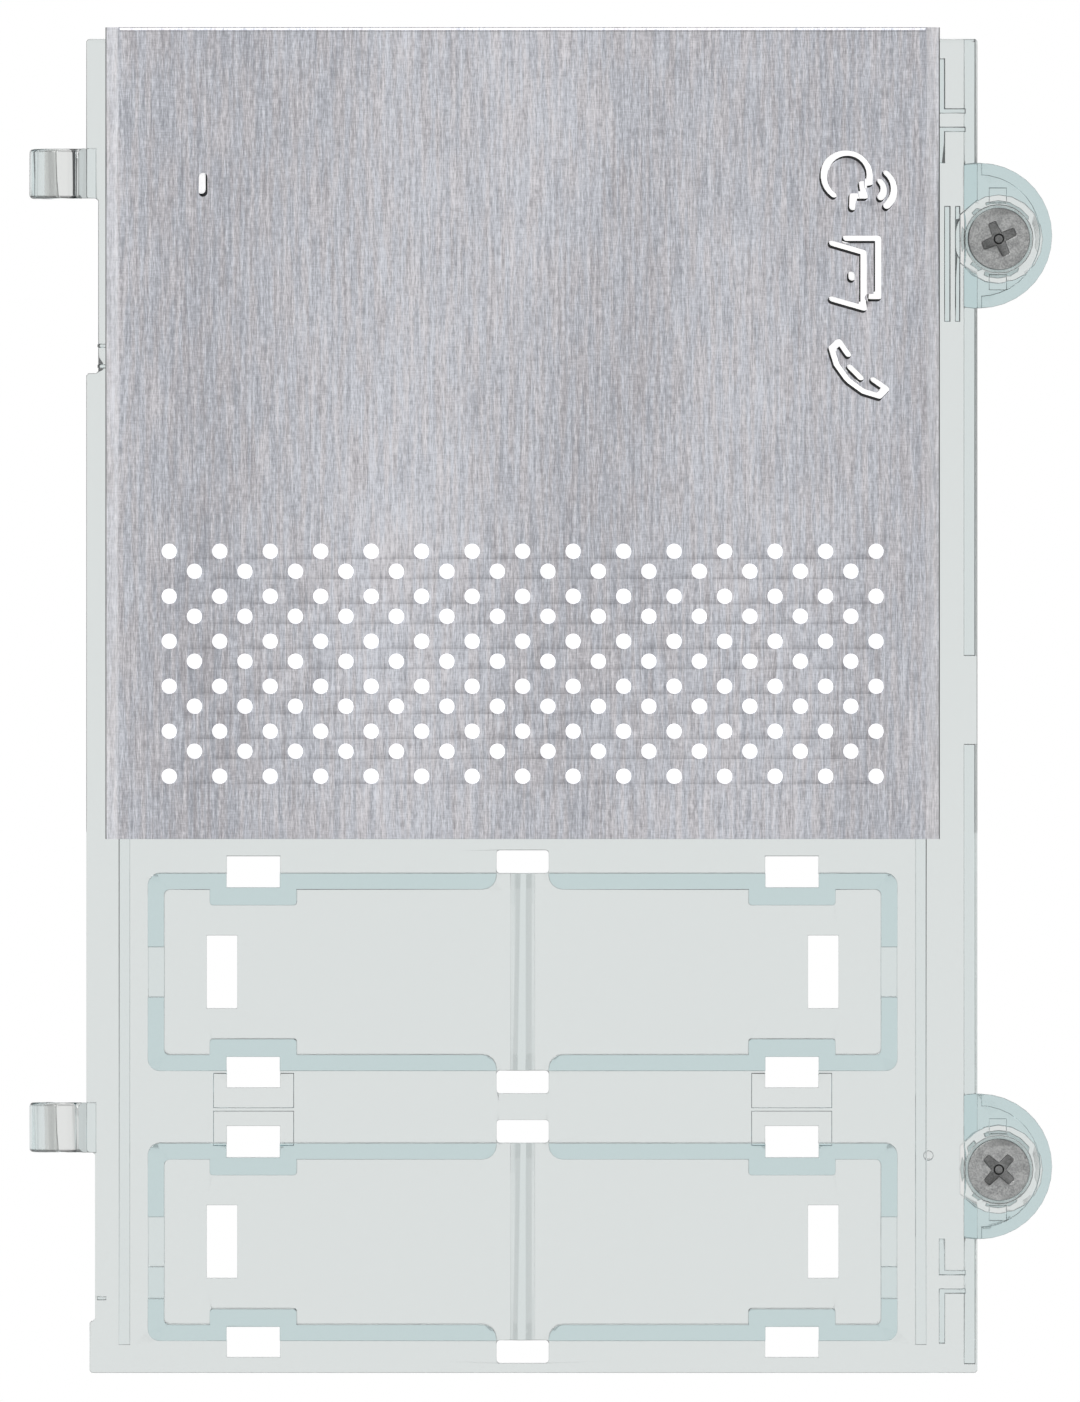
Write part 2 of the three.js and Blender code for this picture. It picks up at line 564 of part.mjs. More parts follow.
// Wire clamp terminals: a body with two wells, a screw in each and the plate that it presses.
const TERMINAL = { x: [-9.4, 2.6], z: [41, 53.5], rear: 17, pitch: 5.6, firstX: -6.2, screwZ: 50 };
const terminalX = [TERMINAL.firstX, TERMINAL.firstX + TERMINAL.pitch];
{
  let body = box(TERMINAL.x, [onBoard, TERMINAL.rear], TERMINAL.z);
  for (const x of terminalX) {
    body = body.subtract(bar(2.2, [5, TERMINAL.rear + 1], [x, TERMINAL.screwZ], 20));
    body = body.subtract(box(grow([x, x], 2.1), [4, 9.6], [42.6, 52.3]));
    body = body.subtract(box(grow([x, x], 1.5), [9, TERMINAL.rear + 1], [43, 46.6]));
  }
  add('terminal_block', body, finish(0x2f7a4a, 0.5));
}
for (const [i, x] of terminalX.entries()) {
  const plate = box(grow([x, x], 1.8), [7.6, 8.4], [42.9, 52]);
  const hole = bar(1.5, [7, 9], [x, TERMINAL.screwZ], 16);
  add(`terminal_clamp_${i + 1}`, plate.subtract(hole), BRASS);
  const head = turned([
    [0, 6.2], [1.25, 6.2], [1.25, 8.7], [1.9, 8.7], [1.9, 11.1], [0, 11.1],
  ], [x, TERMINAL.screwZ], 20);
  const slot = box(grow([x, x], 0.3), [10.3, 12], grow([TERMINAL.screwZ, TERMINAL.screwZ], 3));
  add(`terminal_screw_${i + 1}`, head.subtract(slot), STEEL);
}

// Two adjusters: a square body on the board and a slotted shaft that reaches the rear cover.
const ADJUSTERS = { volume: [-22, 51], gain: [-22, 41.5] };
for (const [name, [x, z]] of Object.entries(ADJUSTERS)) {
  const bodyRear = onBoard + 4.2;
  add(`${name}_adjuster_body`, box(grow([x, x], 3.5), [onBoard, bodyRear], grow([z, z], 3.5)), BLACK);
  const shaft = turned([
    [0, bodyRear + FIT], [2.8, bodyRear + FIT], [2.8, bodyRear + 1.5], [1.6, bodyRear + 1.5], [1.6, 15.4],
    [1.3, 15.7], [0, 15.7],
  ], [x, z], 24);
  add(`${name}_adjuster_shaft`, shaft.subtract(box(grow([x, x], 0.3), [14.7, 17], grow([z, z], 3))), WHITE);
}

// Shrouded header for the ribbon to the next module.
const HEADER = { x: [-21, -8], z: [28.4, 35.4], rear: 16.6 };
{
  const shroud = box(HEADER.x, [onBoard, HEADER.rear], HEADER.z);
  const cavity = box(grow(HEADER.x, -0.9), [HEADER.rear - 7, HEADER.rear + 1], grow(HEADER.z, -0.9));
  add('link_header', shroud.subtract(cavity), BLACK);
}

// Speaker leads, held between the basket and the board.
const LEAD_RADIUS = 0.45;
const LEADS = [['speaker_lead_red', 5, 1.2, RED], ['speaker_lead_black', 9, 2.4, BLACK]];
for (const [name, x, bow, material] of LEADS) {
  const route = new THREE.CatmullRomCurve3([
    [x, 4.6, 18.4], [x + 0.4, 6.4, 20], [x + bow, 7.4, 22.4],
    [x + bow, 6, 25.6], [x + 0.6, 2.6, 27.4], [x, 0.2, 27.8],
  ].map((point) => new THREE.Vector3(...point)));
  const ring = new THREE.Shape();
  ring.absarc(0, 0, LEAD_RADIUS, 0, 2 * Math.PI);
  const options = { extrudePath: route, steps: 12, curveSegments: 3, bevelEnabled: false };
  add(name, solid(new THREE.ExtrudeGeometry(ring, options)), material);
}

// ---------------------------------------------------------------- rear cover and its screws
{
  const { half, z, front, rear, wall } = HOUSING;
  let cover = roundedSlab(both(half), z, 2.5, [front, rear]);
  cover = cover.subtract(roundedSlab(both(half - wall), grow(z, -wall), 1.2, [front - 1, rear - wall]));
  for (const side of [-1, 1]) {
    for (const fixing of FIXING.z) {
      const start = fixing > 30 ? BOARD.rear + FIT : baffleY[1] + FIT;
      const centre = [side * FIXING.x, fixing];
      cover = cover.add(bar(FIXING.post, [start, rear - 0.5], centre, 12));
      cover = cover.subtract(bar(1.6, [start - 1, rear + 1], centre, 10));
      cover = cover.subtract(bar(2.4, [start + 3, rear + 1], centre, 12).intersect(
        box(both(60), [start + 4.2, rear + 1], [-90, 90])));
    }
  }
  const wallY = [rear - wall - 1, rear + 1];
  cover = cover.subtract(box(grow(TERMINAL.x, FIT), wallY, grow(TERMINAL.z, FIT)));
  cover = cover.subtract(box(grow(HEADER.x, FIT), wallY, grow(HEADER.z, FIT)));
  for (const centre of Object.values(ADJUSTERS)) cover = cover.subtract(bar(1.9, wallY, centre, 20));
  for (let i = 0; i < 6; i += 1) {
    const z0 = -6 + i * 4;
    cover = cover.subtract(roundedSlab(both(12), [z0, z0 + 1.6], 0.75, wallY));
  }
  add('rear_cover', cover, GREY);
}
for (const [row, z] of FIXING.z.entries()) {
  for (const side of [-1, 1]) {
    const seat = (row === 0 ? BOARD.rear + FIT : baffleY[1] + FIT) + 4.2;
    const tip = row === 0 ? -8.6 : -9;
    const screw = turned([
      [0, tip], [0.7, tip], [1.2, tip + 1], [1.2, seat + FIT], [2.1, seat + FIT], [2.1, seat + 1.2],
      [1.5, seat + 1.8], [0, seat + 1.9],
    ], [side * FIXING.x, z], 12);
    const name = `cover_screw_${row === 0 ? 'upper' : 'lower'}_${side < 0 ? 'left' : 'right'}`;
    const x = side * FIXING.x;
    const recess = [[0.3, 1.4], [1.4, 0.3]].map(([width, height]) => (
      box(grow([x, x], width), [seat + 1.1, seat + 3], grow([z, z], height))));
    add(name, screw.subtract(recess[0].add(recess[1])), STEEL);
  }
}

// ---------------------------------------------------------------- captive screws and retainers
for (const [i, name] of ['upper', 'lower'].entries()) {
  const z = SCREW.z[i];
  const { x, head, seat, headHeight, shank, tip } = SCREW;
  const top = seat - headHeight;
  const screw = turned([
    [0, top], [1.6, top + 0.06], [2.4, top + 0.35], [head - 0.08, top + 0.9], [head, seat - 0.1],
    [head - 0.1, seat - 0.05], [shank, seat - 0.05], [shank, tip - 0.5], [shank - 0.5, tip], [0, tip],
  ], [0, 0], 20);
  const arm = (width) => new THREE.BoxGeometry(width, 1.4, 0.7).translate(0, top + 0.6, 0);
  const recess = solid(arm(3.2)).add(solid(arm(3.2).rotateY(Math.PI / 2)));
  const tilt = -SCREW_SLOT_TURN[i];
  add(`${name}_screw`, screw.subtract(recess).rotate([0, tilt, 0]).translate([x, 0, z]), STEEL);
  const washer = bar(3.6, [-1.1, -0.3], [x, z]).subtract(bar(shank + 0.15, [-2, 1], [x, z]));
  add(`${name}_screw_retainer`, washer, WHITE);
}

export default panel;
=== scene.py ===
"""Door intercom panel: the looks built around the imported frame. Metres, +Z up, front facing -Y."""
import json
import math

import bmesh
import bpy
from mathutils import Matrix, Vector


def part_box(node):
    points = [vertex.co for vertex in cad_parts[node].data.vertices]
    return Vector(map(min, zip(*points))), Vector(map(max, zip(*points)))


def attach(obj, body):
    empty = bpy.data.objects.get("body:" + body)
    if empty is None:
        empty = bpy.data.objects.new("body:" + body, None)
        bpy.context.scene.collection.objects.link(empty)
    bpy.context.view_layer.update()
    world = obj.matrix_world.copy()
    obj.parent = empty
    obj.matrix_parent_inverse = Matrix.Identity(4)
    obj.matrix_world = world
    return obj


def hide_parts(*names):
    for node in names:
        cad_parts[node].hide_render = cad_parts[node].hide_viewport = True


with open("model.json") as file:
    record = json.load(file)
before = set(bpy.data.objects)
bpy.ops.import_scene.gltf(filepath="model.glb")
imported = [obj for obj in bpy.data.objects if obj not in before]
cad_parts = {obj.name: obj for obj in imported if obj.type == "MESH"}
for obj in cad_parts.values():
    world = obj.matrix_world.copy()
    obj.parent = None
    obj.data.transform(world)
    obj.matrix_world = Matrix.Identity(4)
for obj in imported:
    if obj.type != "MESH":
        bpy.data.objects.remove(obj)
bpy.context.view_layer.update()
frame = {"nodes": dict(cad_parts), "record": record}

MM = 0.001
TAU = 2 * math.pi


# ---------------------------------------------------------------- measures taken from the frame
plate_low, plate_high = (Vector(corner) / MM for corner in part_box("face_plate"))
carrier_low = Vector(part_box("carrier")[0]) / MM
BEND = 1.3
SCREW_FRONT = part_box("upper_screw")[0][1] / MM


# ---------------------------------------------------------------- shader expressions
class Wire:
    """A shader value. Arithmetic on it adds Math nodes to its tree."""

    def __init__(self, nodes, socket):
        self.nodes, self.socket = nodes, socket

    def maths(self, operation, left, right=0.0):
        return self.nodes.add("ShaderNodeMath", {"operation": operation}, {0: left, 1: right})

    def __add__(self, other):
        return self.maths("ADD", self, other)

    def __sub__(self, other):
        return self.maths("SUBTRACT", self, other)

    def __rsub__(self, other):
        return self.maths("SUBTRACT", other, self)

    def __mul__(self, other):
        return self.maths("MULTIPLY", self, other)

    def __gt__(self, other):
        return self.maths("GREATER_THAN", self, other)

    def __lt__(self, other):
        return self.maths("LESS_THAN", self, other)

    def absolute(self):
        return self.maths("ABSOLUTE", self)

    def remapped(self, low, high, to_low=0.0, to_high=1.0):
        """Eases from to_low to to_high while the value goes from low to high."""
        return self.nodes.add("ShaderNodeMapRange", {"interpolation_type": "SMOOTHSTEP"},
                              {0: self, 1: low, 2: high, 3: to_low, 4: to_high})

    __radd__, __rmul__ = __add__, __mul__


class Nodes:
    """A node tree that values are added to."""

    def __init__(self, tree):
        self.tree = tree

    def add(self, kind, settings=None, inputs=None, output=0):
        """A node of that kind with its settings made and its sockets filled; returns one output."""
        node = self.tree.nodes.new(kind)
        for key, value in (settings or {}).items():
            setattr(node, key, value)
        for key, value in (inputs or {}).items():
            self.fill(node.inputs[key], value)
        return Wire(self, node.outputs[output])

    def fill(self, socket, value):
        if isinstance(value, Wire):
            self.tree.links.new(value.socket, socket)
        else:
            socket.default_value = value


class Finish(Nodes):
    """A node material with one Principled surface."""

    def __init__(self, name, color=(0.8, 0.8, 0.8), roughness=0.5, metallic=0.0, **constants):
        self.name, self.data = name, bpy.data.materials.new(name)
        self.data.use_nodes = True
        super().__init__(self.data.node_tree)
        self.surface = self.tree.nodes["Principled BSDF"]
        self.set("Base Color", (*color, 1.0))
        self.set("Roughness", roughness)
        self.set("Metallic", metallic)
        for socket, value in constants.items():
            self.set(socket.replace("_", " "), value)

    def set(self, socket, value):
        self.fill(self.surface.inputs[socket], value)

    def place(self, scale=(1, 1, 1), shift=(0, 0, 0)):
        """Object coordinates in millimetres, stretched by scale."""
        where = self.add("ShaderNodeTexCoord", output="Object")
        per_mm = [s / MM for s in scale]
        return self.add("ShaderNodeMapping", {}, {"Vector": where, "Scale": per_mm, "Location": shift})

    def noise(self, scale=(1, 1, 1), detail=2.0, roughness=0.5, shift=(0, 0, 0)):
        inputs = {"Vector": self.place(scale, shift), "Scale": 1.0, "Detail": detail, "Roughness": roughness}
        return self.add("ShaderNodeTexNoise", {}, inputs)

    def axis(self, index):
        """One object coordinate, in millimetres: 0 for X, 1 for Y, 2 for Z."""
        return self.add("ShaderNodeSeparateXYZ", {}, {0: self.place()}, output=index)

    def blend(self, factor, first, second):
        """Colour first where factor is 0 and second where it is 1."""
        colors = {6: first if isinstance(first, Wire) else (*first, 1.0),
                  7: second if isinstance(second, Wire) else (*second, 1.0)}
        return self.add("ShaderNodeMix", {"data_type": "RGBA"}, {0: factor, **colors}, output=2)

    def bump(self, height, depth_mm, strength=1.0):
        """Height in 0 to 1, raised by depth_mm."""
        inputs = {"Strength": strength, "Distance": depth_mm * MM, "Height": height}
        self.set("Normal", self.add("ShaderNodeBump", {}, inputs))


# ---------------------------------------------------------------- finishes
def absorbing(finish, color, density):
    """Light that crosses the piece loses colour with its depth."""
    inside = finish.tree.nodes.new("ShaderNodeVolumeAbsorption")
    inside.inputs["Color"].default_value = (*color, 1.0)
    inside.inputs["Density"].default_value = density
    finish.tree.links.new(inside.outputs[0], finish.tree.nodes["Material Output"].inputs["Volume"])
    return finish


def clear_polycarbonate():
    finish = Finish("clear_polycarbonate", (0.806, 0.782, 0.768), 0.03, Transmission_Weight=1.0, IOR=1.585)
    flow = finish.noise((0.09, 0.09, 0.03), 2.0)
    finish.set("Roughness", flow.remapped(0.3, 0.8, 0.01, 0.05))
    finish.bump(finish.noise((0.22, 0.22, 0.12), 1.0), 0.008)
    return absorbing(finish, (0.40, 0.70, 0.74), 104.0)


def natural_nylon():
    """Translucent, tinted by the clear shell around it."""
    finish = Finish("retainer_nylon", (0.80, 0.80, 0.79), 0.12, Transmission_Weight=1.0, IOR=1.53)
    finish.set("Roughness", finish.noise((0.8, 0.8, 0.8), 2.0).remapped(0.3, 0.7, 0.08, 0.16))
    return absorbing(finish, (0.40, 0.66, 0.70), 650.0)


def brushed_aluminium():
    """Hairlines along Z in three sizes, broken by short cross scratches; some turn warm, some cool. Along
    each side fold the colour is lightened as a painted highlight, and the fold's outer edge is painted near
    black as a painted shadow.
    """
    finish = Finish("brushed_aluminium", metallic=1.0)
    hairline = finish.noise((9.0, 2.0, 1.1), 3.0, 0.65)
    streak = finish.noise((3.4, 1.0, 0.16), 3.0, 0.6, (7, 0, 3))
    scratch = finish.noise((1.2, 1.0, 8.0), 2.0, 0.5, (1, 8, 2))
    broad = finish.noise((0.05, 0.3, 0.008), 2.0, 0.5, (2, 0, 9))
    grain = hairline * 0.42 + streak * 0.28 + scratch * 0.12 + broad * 0.18
    tone = grain.remapped(0.375, 0.625)
    cool = finish.blend(tone, (0.345, 0.355, 0.395), (0.79, 0.805, 0.86))
    warm = finish.blend(tone, (0.365, 0.355, 0.38), (0.825, 0.81, 0.84))
    tint = finish.noise((1.5, 1.0, 0.12), 2.0, 0.5, (4, 4, 4)).remapped(0.4, 0.62)
    side = plate_high.x - finish.axis(0).absolute()
    # Painted shadow: the last 0.1 mm of each side fold and the front 1.3 mm of the plate's side are near
    # black.
    shade = (side < 0.1) * (finish.axis(1) < plate_low.y + BEND)
    # Painted highlight: within about 1.3 mm of each side edge, over the fold, the colour is lifted 30 %
    # towards pale grey.
    colour_with_painted_fold_highlight = finish.blend(side.remapped(1.1, 1.35, 0.3, 0.0), finish.blend(tint, cool, warm), (0.9, 0.89, 0.9))
    finish.set("Base Color", finish.blend(shade, colour_with_painted_fold_highlight, (0.03, 0.03, 0.035)))
    finish.set("Roughness", grain.remapped(0.3, 0.7, 0.44, 0.32))
    finish.bump(grain, 0.012, 0.8)
    return finish


def plain(name, color, roughness, grain=6.0, depth=0.01, variation=0.12, metallic=0.0, **constants):
    """A moulded or coated surface: fine grain in the bump, slow variation in colour and gloss."""
    finish = Finish(name, color, roughness, metallic, **constants)
    speckle = finish.noise((grain, grain, grain), 3.0, 0.6)
    patch = finish.noise((0.12, 0.12, 0.12), 3.0, 0.5, (3, 1, 2))
    mixed = speckle * 0.5 + patch * 0.5
    dark = [c * (1 - variation) for c in color]
    light = [min(1.0, c * (1 + variation)) for c in color]
    finish.set("Base Color", finish.blend(mixed.remapped(0.35, 0.65), dark, light))
    finish.set("Roughness", mixed.remapped(0.3, 0.7, roughness * 0.85, min(1.0, roughness * 1.15)))
    finish.bump(speckle, depth)
    return finish


def screw_steel():
    finish = Finish("screw_steel", metallic=1.0)
    mottle = finish.noise((7.5, 7.5, 7.5), 4.0, 0.65)
    cloud = finish.noise((1.1, 1.1, 1.1), 3.0, 0.5, (5, 5, 5))
    tone = (mottle * 0.7 + cloud * 0.3).remapped(0.36, 0.64)
    bright = finish.blend(tone, (0.28, 0.285, 0.285), (0.52, 0.525, 0.52))
    # Painted shade: deeper than 0.12 mm behind the head's front, the steel blends towards near black, half
    # way by 0.5 mm, for the shade in the cross recess; the head's sides and the shank behind take the same
    # darkening.
    painted_recess_shade = finish.axis(1).remapped(SCREW_FRONT + 0.12, SCREW_FRONT + 0.5, 0.0, 0.5)
    finish.set("Base Color", finish.blend(painted_recess_shade, bright, (0.035, 0.035, 0.035)))
    finish.set("Roughness", tone.remapped(0.0, 1.0, 0.46, 0.3))
    finish.bump(mottle, 0.016, 0.8)
    return finish


def opal_with_painted_glow():
    finish = plain("opal_sheet", (0.95, 0.95, 0.94), 0.35, 2.0, 0.003, 0.01)
    # Painted light: the opal sheet glows as if backlit, though it is no lamp.
    finish.set("Emission Color", (1.0, 1.0, 0.99, 1.0))
    finish.set("Emission Strength", 0.75)
    return finish


def white_mesh():
    """Acoustic membrane: a fine plain weave, with a painted glow that keeps it white behind the grille
    holes.
    """
    finish = Finish("white_mesh", (0.95, 0.95, 0.94), 0.7)
    threads = 22.0
    warp = (finish.axis(0) * threads).maths("SINE", finish.axis(0) * threads)
    weft = (finish.axis(2) * threads).maths("SINE", finish.axis(2) * threads)
    weave = warp * weft * 0.5 + 0.5
    finish.set("Base Color", finish.blend(weave, (0.90, 0.90, 0.89), (0.97, 0.97, 0.965)))
    finish.bump(weave, 0.02)
    # Painted light: the emission makes the membrane glow white where it would sit in shade behind the holes.
    finish.set("Emission Color", (1.0, 1.0, 1.0, 1.0))
    finish.set("Emission Strength", 0.7)
    return finish


def board_green():
    """Solder mask over tracks that run both ways."""
    finish = Finish("board_green", (0.02, 0.17, 0.07), 0.3, Coat_Weight=0.4, Coat_Roughness=0.15)
    cells = finish.add("ShaderNodeTexBrick", {"offset": 0.5}, {
        "Vector": finish.place((0.16, 0.16, 0.16)), "Color1": (0, 0, 0, 1), "Color2": (0, 0, 0, 1),
        "Mortar": (1, 1, 1, 1), "Scale": 1.0, "Mortar Size": 0.05, "Brick Width": 1.7, "Row Height": 0.45})
    tracks = finish.noise((0.3, 0.3, 0.3), 1.0).remapped(0.45, 0.5) * cells
    finish.set("Base Color", finish.blend(tracks, (0.012, 0.13, 0.05), (0.03, 0.25, 0.10)))
    finish.bump(tracks, 0.03)
    return finish


FINISHES = {finish.name: finish for finish in (
    clear_polycarbonate(), brushed_aluminium(), screw_steel(), opal_with_painted_glow(), white_mesh(), board_green(),
    natural_nylon(),
    plain("foam_tape", (0.11, 0.115, 0.12), 0.9, 3.0, 0.03),
    plain("black_plastic", (0.022, 0.022, 0.024), 0.45, 7.0, 0.012),
    plain("lamp_body", (0.88, 0.86, 0.78), 0.35, 5.0, 0.004, 0.05),
    plain("rubber", (0.02, 0.02, 0.022), 0.8, 4.0, 0.02),
    plain("zinc_steel", (0.55, 0.56, 0.56), 0.35, 3.0, 0.006, 0.15, 1.0),
    plain("ferrite", (0.035, 0.035, 0.04), 0.5, 9.0, 0.015, 0.2),
    plain("chip_black", (0.015, 0.015, 0.017), 0.6, 12.0, 0.008),
    plain("capacitor_sleeve", (0.02, 0.03, 0.06), 0.25, 2.0, 0.003),
    plain("green_plastic", (0.03, 0.20, 0.08), 0.4, 7.0, 0.01),
    plain("lead_red", (0.45, 0.02, 0.015), 0.4, 5.0, 0.004),
    plain("lead_black", (0.02, 0.02, 0.022), 0.4, 5.0, 0.004),
    plain("grey_plastic", (0.052, 0.055, 0.06), 0.55, 5.0, 0.025, 0.15),
    plain("brass", (0.72, 0.50, 0.22), 0.32, 4.0, 0.006, 0.12, 1.0),
    plain("white_plastic", (0.86, 0.86, 0.84), 0.38, 6.0, 0.006, 0.03),
    plain("cone_paper", (0.03, 0.028, 0.026), 0.85, 8.0, 0.04, 0.3),
)}

NODE_SLOT = {part["node"]: part["material_slot"] for part in frame["record"]["subparts"]}
NODE_BODY = {node: body for body, nodes in frame["record"]["behaviour"]["bodies"].items() for node in nodes}


# ---------------------------------------------------------------- mesh helpers
def paint(piece, slot_name):
    piece.data.materials.clear()
    piece.data.materials.append(FINISHES[slot_name].data)


def shaded(mesh, angle=32):
    """Smooth faces, with edges sharper than angle kept crisp."""
    for polygon in mesh.polygons:
        polygon.use_smooth = True
    mesh.set_sharp_from_angle(angle=math.radians(angle))


def finished(bm, name, node, replaces=True, slot_name=None, angle=32):
    """The bmesh as a named object that rides on the node's body and wears its finish."""
    mesh = bpy.data.meshes.new(name)
    bm.to_mesh(mesh)
    bm.free()
    shaded(mesh, angle)
    piece = bpy.data.objects.new(name, mesh)
    bpy.context.collection.objects.link(piece)
    paint(piece, slot_name or NODE_SLOT[node])
    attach(piece, NODE_BODY[node])
    if replaces:
        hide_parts(node)
    return piece


def joined_faces(node):
    """A node's mesh with its corners merged and its flat triangles joined into whole faces."""
    bm = bmesh.new()
    bm.from_mesh(frame["nodes"][node].data)
    bmesh.ops.remove_doubles(bm, verts=bm.verts, dist=2e-6)
    bmesh.ops.dissolve_limit(bm, angle_limit=math.radians(1), verts=bm.verts, edges=bm.edges)
    bmesh.ops.triangulate(bm, faces=bm.faces, quad_method="BEAUTY", ngon_method="BEAUTY")
    return bm


def soften(bm, width_mm, segments=2, angle=50, chosen=None):
    """Rounds the edges that are sharper than angle."""
    edges = [edge for edge in bm.edges if edge.is_manifold and edge.calc_face_angle() > math.radians(angle)]
    if chosen:
        edges = [edge for edge in edges if chosen(edge)]
    bmesh.ops.bevel(bm, geom=edges, offset=width_mm * MM, offset_type="OFFSET", segments=segments,
                    profile=0.5, affect="EDGES", material=-1, clamp_overlap=False, loop_slide=False)


def weighted(piece):
    """Keeps broad flat faces flat beside their rounded edges."""
    modifier = piece.modifiers.new("flat_faces", "WEIGHTED_NORMAL")
    modifier.keep_sharp = True
    modifier.weight = 80
    return piece


def softened(node, width_mm, segments=2, angle=50):
    bm = joined_faces(node)
    soften(bm, width_mm, segments, angle)
    return weighted(finished(bm, f"{node}_shell", node))


def arc(centre, radius, start, end, steps):
    """Points on an arc, angles in degrees."""
    angles = [math.radians(start + (end - start) * i / steps) for i in range(steps + 1)]
    return [(centre[0] + radius * math.cos(a), centre[1] + radius * math.sin(a)) for a in angles]


def prism(bm, outline, place, run):
    """Adds an outline of (u, v) points in millimetres, set by place(u, v), extruded along run."""
    corners = [bm.verts.new(Vector(place(u, v)) * MM) for u, v in outline]
    face = bm.faces.new(corners)
    grown = bmesh.ops.extrude_face_region(bm, geom=[face])["geom"]
    moved = [part for part in grown if isinstance(part, bmesh.types.BMVert)]
    bmesh.ops.translate(bm, verts=moved, vec=Vector(run) * MM)
    return corners + moved


def turned(bm, profile, centre, steps):
    """Adds a turned solid about an axis along Y: profile points are (radius, y) in millimetres."""
    middle = Vector((centre[0], 0, centre[1])) * MM
    verts = [bm.verts.new(middle + Vector((radius, y, 0)) * MM) for radius, y in profile]
    edges = [bm.edges.new(pair) for pair in zip(verts, verts[1:])]
    made = bmesh.ops.spin(bm, geom=verts + edges, cent=middle, axis=(0, 1, 0), angle=TAU, steps=steps,
                          use_merge=True)
    everything = [v for v in bm.verts if v.is_valid]
    bmesh.ops.remove_doubles(bm, verts=everything, dist=1e-7)
    return made


# ---------------------------------------------------------------- brushed plate
SHEET = 0.8
FOLD = 0.5
RIM = 0.05
STROKE = 0.7
HOLE_RADIUS = 0.7
HOLE_PITCH = 4.646
ROW_PITCH = 4.14
ROW_DROP = 1.84
LOWEST_ROW = -6.92
HOLE_STEPS = 24


def grille_outlines():
    """Round holes: main rows with a shorter row between each pair, moved half a pitch."""
    rows = [(15, LOWEST_ROW + i * ROW_PITCH) for i in range(6)]
    rows += [(14, z - ROW_DROP) for _, z in rows[1:]]
    for count, z in rows:
        for i in range(count):
            x = (i - (count - 1) / 2) * HOLE_PITCH
            yield arc((x, z), HOLE_RADIUS + RIM, 0, 360 * (1 - 1 / HOLE_STEPS), HOLE_STEPS - 1)


def heading(start, end):
    return math.degrees(math.atan2(end[1] - start[1], end[0] - start[0]))


def one_side(points, half):
    """The left edge of a line with round outer joints."""
    leaving = heading(points[0], points[1]) + 90
    side = arc(points[0], half, leaving, leaving, 1)[:1]
    for before, point, after in zip(points, points[1:], points[2:]):
        first, second = heading(before, point), heading(point, after)
        turn = (second - first + 180) % 360 - 180
        if turn < -20:
            side += arc(point, half, first + 90, first + 90 + turn, 4)
        else:
            side += arc(point, half / math.cos(math.radians(turn / 2)), first + 90 + turn / 2, 0, 1)[:1]
    last = heading(points[-2], points[-1])
    return side + arc(points[-1], half, last + 90, last - 90, 8)[:-1]


def capped(points, width):
    """The closed outline of a line of that width through the points, with round ends."""
    return one_side(points, width / 2) + one_side(points[::-1], width / 2)


def pictograms(width):
    """Speaking head, open door and handset: lines about the middle of each."""
    face = [(2.1, -0.6), (1.4, -0.75), (1.5, -1.35), (1.66, -1.84), (0.55, -1.84), (0.5, -2.9)]
    handle = [(-1, 1.35), (-1.8, 2.5), (-2.5, 1.85), (-2.05, 0.4), (-1.15, -0.85)]
    mirrored = [(z, x) for x, z in reversed(handle)]
    speak, door, handset = (29.76, 48.2), (30.77, 39.47), (30.87, 30.45)
    lines = [
        (speak, arc((0, 0), 2.12, 235, -10, 20) + face),
        (speak, arc((2.35, -1.25), 1.05, 45, -45, 6)),
        (speak, arc((2.35, -1.25), 2.0, 50, -50, 10)),
        (door, [(-1.08, 3), (1.88, 3), (1.88, -2.36), (1.1, -2.36)]),
        (door, [(-2.36, 2.54), (0.54, 1.7), (0.54, -3.42), (-2.36, -2.59)]),
        (door, [(-0.57, -0.65), (-0.57, -0.3)]),
        (handset, handle + mirrored),
        (handset, [(-0.8, 0.16), (0.16, -0.8)]),
    ]
    for (x, z), points in lines:
        yield capped([(x + u, z + v) for u, v in points], width)


def punched_sheet(outlines, front, thickness, rim):
    """A flat sheet: the first outline less the others, with rounded rims on every cut."""
    curve = bpy.data.curves.new("punched_sheet", "CURVE")
    curve.dimensions = "2D"
    curve.fill_mode = "BOTH"
    curve.extrude = (thickness / 2 - rim) * MM
    curve.bevel_depth = rim * MM
    curve.bevel_resolution = 1
    for outline in outlines:
        spline = curve.splines.new("POLY")
        spline.points.add(len(outline) - 1)
        for point, (x, z) in zip(spline.points, outline):
            point.co = (x * MM, z * MM, 0, 1)
        spline.use_cyclic_u = True
    holder = bpy.data.objects.new("punched_sheet", curve)
    mesh = bpy.data.meshes.new_from_object(holder)
    bpy.data.objects.remove(holder)
    bpy.data.curves.remove(curve)
    bm = bmesh.new()
    bm.from_mesh(mesh)
    bpy.data.meshes.remove(mesh)
    bmesh.ops.remove_doubles(bm, verts=bm.verts, dist=1e-7)
    bmesh.ops.rotate(bm, verts=bm.verts, matrix=Matrix.Rotation(math.pi / 2, 3, "X"))
    bmesh.ops.translate(bm, verts=bm.verts, vec=(0, (front + thickness / 2) * MM, 0))
    return bm


